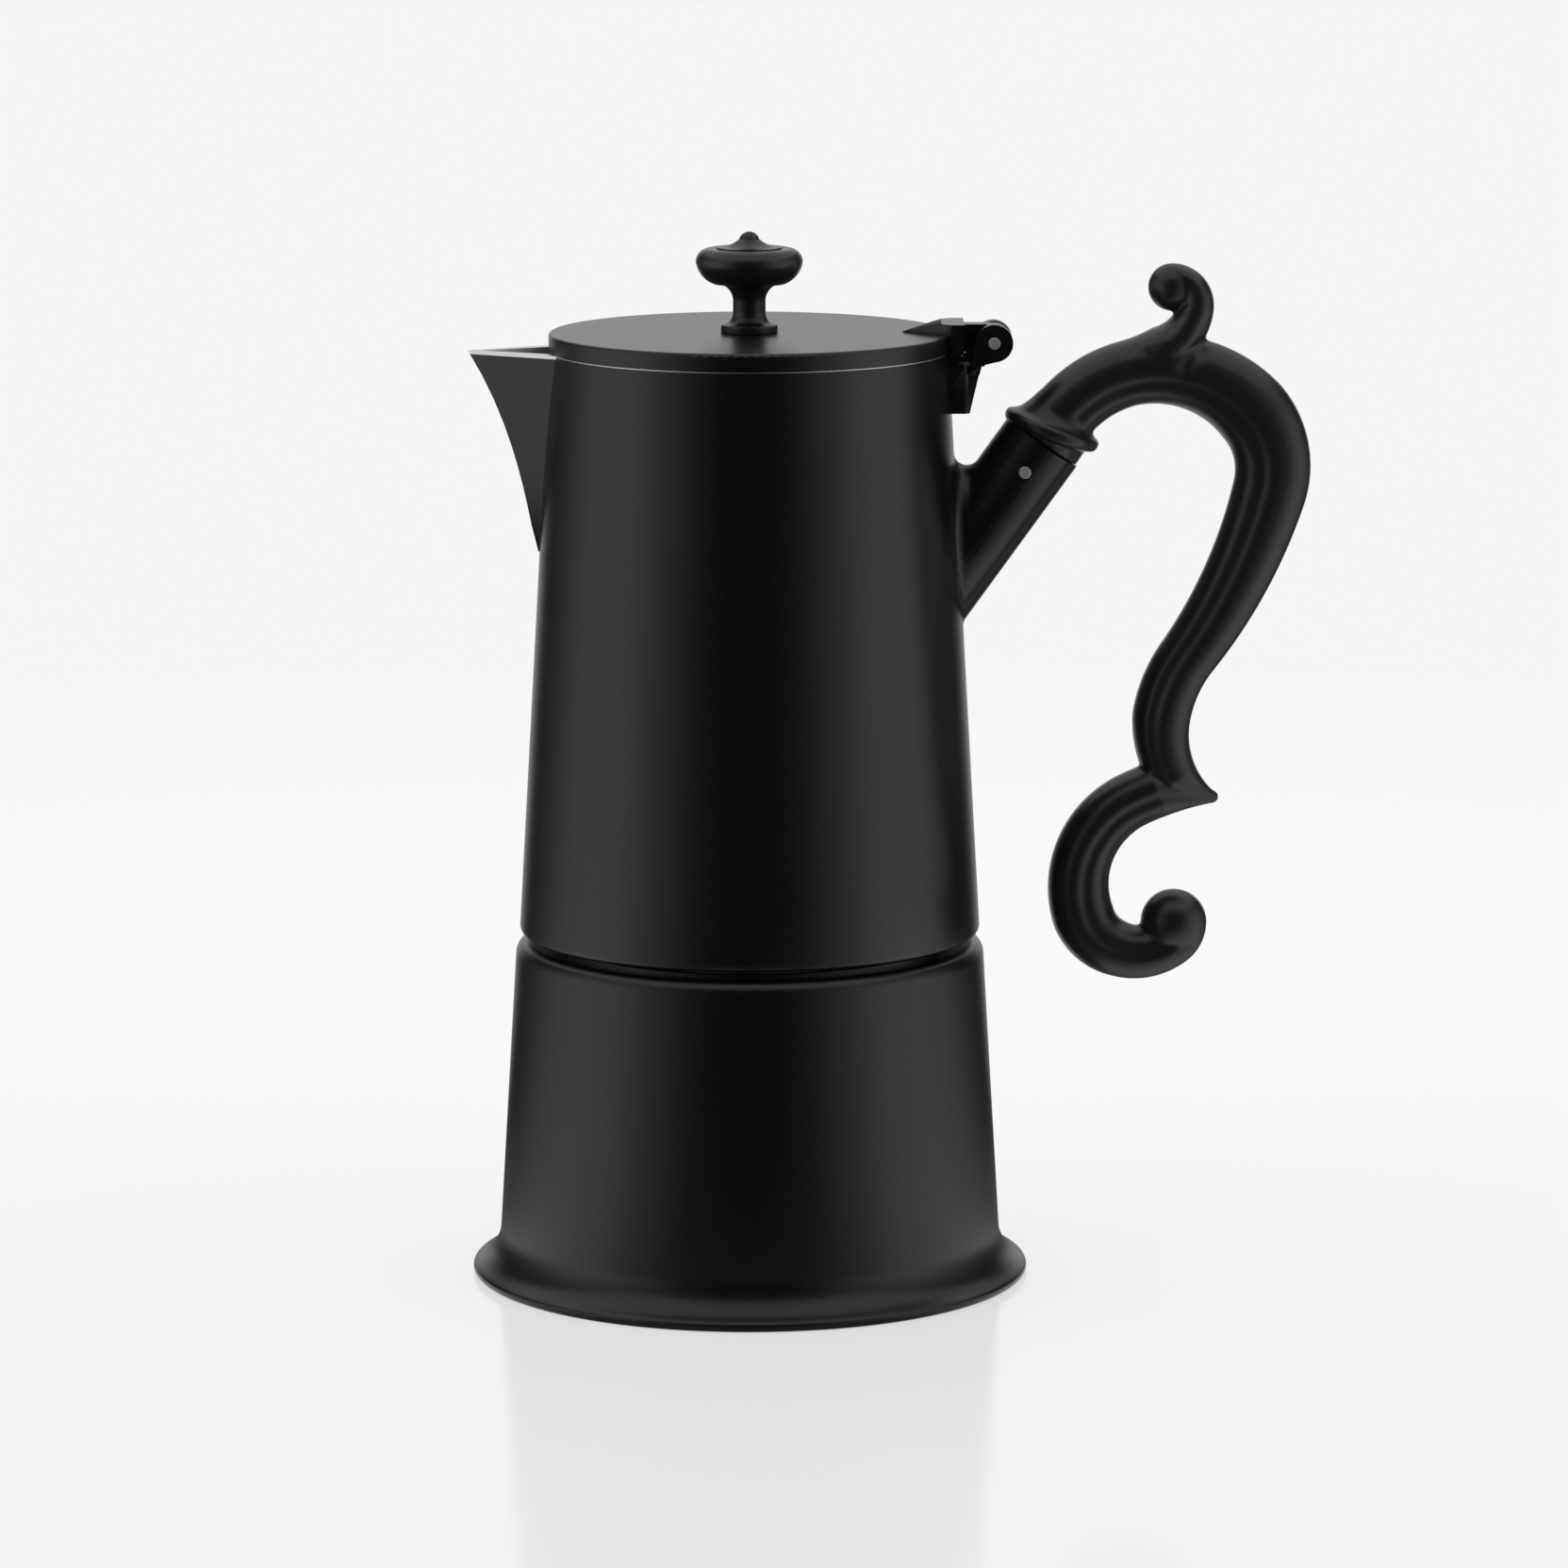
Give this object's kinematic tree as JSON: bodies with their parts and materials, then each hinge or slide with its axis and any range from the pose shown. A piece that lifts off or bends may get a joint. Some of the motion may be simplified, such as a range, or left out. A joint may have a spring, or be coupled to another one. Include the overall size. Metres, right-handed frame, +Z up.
{
  "type": "moka pot",
  "caption": "Stove-top moka coffee pot: flared boiler, tapered jug with a pointed spout that screws on to it, flat hinged lid with a turned knob, and a scrolled handle in a slanted socket.",
  "frame": {"origin": "centre of the flat base, on the pot's axis", "axes": "+Z up the pot's axis, +X from the spout towards the handle, +Y towards the safety valve"},
  "size_m": [0.1573, 0.1109, 0.1973],
  "materials": {
    "black_coat": "satin black coating on cast and spun aluminium",
    "black_plastic": "satin moulded black phenolic plastic",
    "bare_aluminium": "bare drawn or turned aluminium",
    "steel": "plain bright steel",
    "brass": "turned brass",
    "rubber": "pale food-grade sealing rubber"
  },
  "bodies": {
    "boiler": {"boiler": "black_coat", "valve_body": "brass", "valve_washer": "rubber", "valve_cap": "brass", "valve_spring": "steel"},
    "valve_stem": {"valve_stem": "brass", "valve_seal": "rubber"},
    "funnel": {"funnel": "bare_aluminium", "funnel_plate": "bare_aluminium"},
    "seal": {"gasket": "rubber", "filter_plate": "bare_aluminium"},
    "collector": {"collector": "black_coat", "riser_column": "bare_aluminium", "handle": "black_plastic", "handle_pin": "steel", "hinge_pin": "steel"},
    "lid": {"lid": "black_coat", "knob": "black_plastic", "knob_screw": "steel", "knob_washer": "steel"}
  },
  "joints": [
    {"name": "lid_hinge", "type": "hinge", "parent": "collector", "child": "lid", "pos_m": [0.0455, 0, 0.1769], "axis": [0, 1, 0], "range_deg": [0, 105]},
    {"name": "collector_turn", "type": "hinge", "parent": "seal", "child": "collector", "pos_m": [0, 0, 0.0652], "axis": [0, 0, 1], "range_deg": [0, 1080]},
    {"name": "collector_rise", "type": "slide", "parent": "funnel", "child": "seal", "axis": [0, 0, 1], "range_m": [0, 0.0075]},
    {"name": "funnel_lift", "type": "slide", "parent": "boiler", "child": "funnel", "axis": [0, 0, 1], "range_m": [0, 0.075]},
    {"name": "valve_lift", "type": "slide", "parent": "boiler", "child": "valve_stem", "axis": [0, 1, 0], "range_m": [0, 0.0015], "stiffness_N_per_m": 1500, "springref_m": -0.001, "deforming": ["valve_spring"]}
  ],
  "couplings": [
    {"joint": "collector_rise", "follows": "collector_turn", "m_per_rad": 0.00039788}
  ]
}
